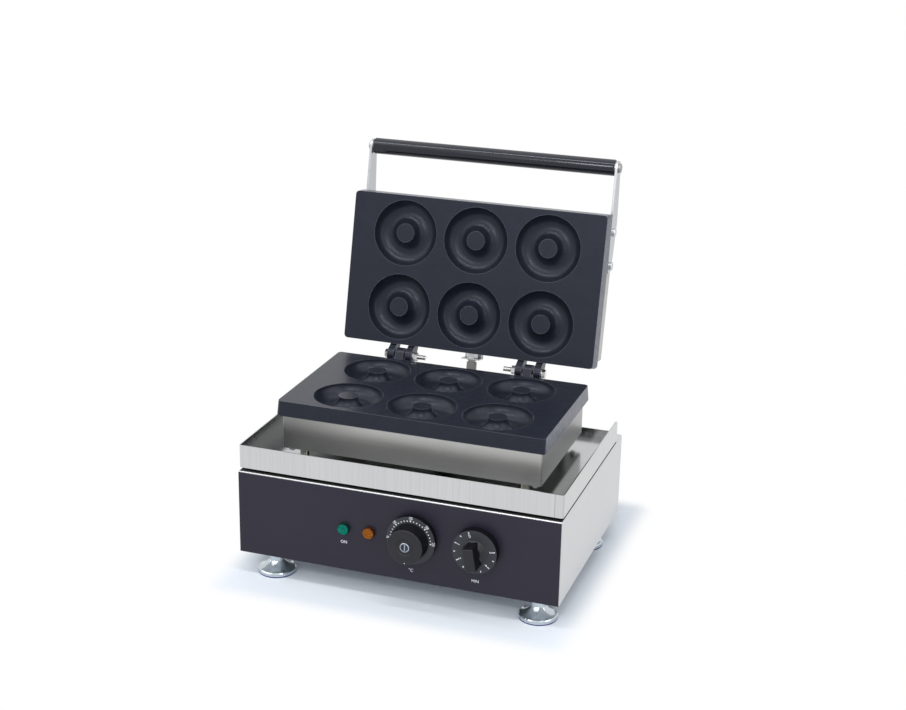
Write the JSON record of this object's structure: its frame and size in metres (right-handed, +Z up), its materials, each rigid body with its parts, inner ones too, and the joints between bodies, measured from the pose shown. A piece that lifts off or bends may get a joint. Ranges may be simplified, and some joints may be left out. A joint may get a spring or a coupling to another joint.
{
  "type": "donut maker",
  "caption": "Countertop donut maker: cast ring-mould plates in a hinged lid and base, over a drip tray and a steel housing with dial controls, lamps and levelling feet.",
  "frame": {"origin": "on the floor, in the middle of the footprint of the open appliance", "axes": "+X to the right seen from the front, +Y from the control panel to the hinge side, +Z up"},
  "size_m": [0.41, 0.3926, 0.4846],
  "materials": {
    "stainless": "brushed stainless sheet",
    "panel_black": "smooth black front plate",
    "nonstick_cast": "cast, dark non-stick coating",
    "bright_steel": "bright plated steel",
    "chrome": "polished",
    "foot_pad": "blue moulded pad",
    "black_phenolic": "glossy black",
    "black_plastic": "moulded",
    "green_lens": "clear green lens",
    "amber_lens": "clear amber lens",
    "element_sheath": "dull sheath",
    "ceramic_fibre": "soft white fibre",
    "copper": "drawn copper",
    "conduit_grey": "grey sheathed flexible conduit"
  },
  "bodies": {
    "base": {"housing_shell": "stainless", "control_panel": "panel_black", "base_plate": "stainless", "base_screws": "bright_steel", "foot_sockets": "stainless", "drip_tray": "stainless", "tray_spacers": "stainless", "box_standoffs": "stainless", "standoff_bolts": "bright_steel", "wire_duct": "stainless", "lower_heater_box": "stainless", "lower_plate": "nonstick_cast", "lower_heating_element": "element_sheath", "lower_element_clamp": "element_sheath", "lower_insulation": "ceramic_fibre", "lower_plate_studs": "bright_steel", "lower_box_nuts": "bright_steel", "thermostat_body": "black_plastic", "thermostat_probe": "copper", "timer_body": "black_plastic", "green_lamp_lens": "green_lens", "amber_lamp_lens": "amber_lens", "lamp_holders": "black_plastic", "terminal_block": "black_plastic", "cable_gland": "black_plastic", "flexible_conduit": "conduit_grey", "conduit_bush": "black_plastic"},
    "lid": {"upper_plate": "nonstick_cast", "upper_heater_box": "stainless", "upper_heating_element": "element_sheath", "upper_element_clamp": "element_sheath", "upper_insulation": "ceramic_fibre", "upper_plate_studs": "bright_steel", "upper_box_nuts": "bright_steel", "left_handle_arm": "stainless", "right_handle_arm": "stainless", "arm_screws": "bright_steel", "handle_grip": "black_phenolic", "handle_rod": "bright_steel", "grip_washers": "bright_steel", "handle_end_screws": "bright_steel", "hinge_bolts": "bright_steel", "hinge_washers": "bright_steel", "hinge_nuts": "bright_steel", "conduit_bracket": "stainless", "conduit_lock_nut": "bright_steel", "conduit_ferrule": "bright_steel"},
    "temperature_control": {"temperature_knob": "black_phenolic", "temperature_knob_cap": "bright_steel", "thermostat_spindle": "bright_steel"},
    "timer_control": {"timer_knob": "black_phenolic", "timer_spindle": "bright_steel"},
    "front_left_levelling_foot": {"front_left_foot": "chrome", "front_left_foot_pad": "foot_pad"},
    "front_right_levelling_foot": {"front_right_foot": "chrome", "front_right_foot_pad": "foot_pad"},
    "back_left_levelling_foot": {"back_left_foot": "chrome", "back_left_foot_pad": "foot_pad"},
    "back_right_levelling_foot": {"back_right_foot": "chrome", "back_right_foot_pad": "foot_pad"}
  },
  "joints": [
    {"name": "lid_hinge", "type": "hinge", "parent": "base", "child": "lid", "pos_m": [0, 0.08652, 0.2211], "axis": [1, 0, 0], "range_deg": [0, 103], "deforming": ["flexible_conduit"]},
    {"name": "temperature_knob_turn", "type": "hinge", "parent": "base", "child": "temperature_control", "pos_m": [0.0238, -0.16328, 0.088], "axis": [0, 1, 0], "range_deg": [0, 275]},
    {"name": "timer_knob_turn", "type": "hinge", "parent": "base", "child": "timer_control", "pos_m": [0.1039, -0.16328, 0.088], "axis": [0, 1, 0], "range_deg": [0, 264]},
    {"name": "front_left_foot_height", "type": "slide", "parent": "base", "child": "front_left_levelling_foot", "axis": [0, 0, -1], "range_m": [0, 0.008]},
    {"name": "front_right_foot_height", "type": "slide", "parent": "base", "child": "front_right_levelling_foot", "axis": [0, 0, -1], "range_m": [0, 0.008]},
    {"name": "back_left_foot_height", "type": "slide", "parent": "base", "child": "back_left_levelling_foot", "axis": [0, 0, -1], "range_m": [0, 0.008]},
    {"name": "back_right_foot_height", "type": "slide", "parent": "base", "child": "back_right_levelling_foot", "axis": [0, 0, -1], "range_m": [0, 0.008]}
  ]
}
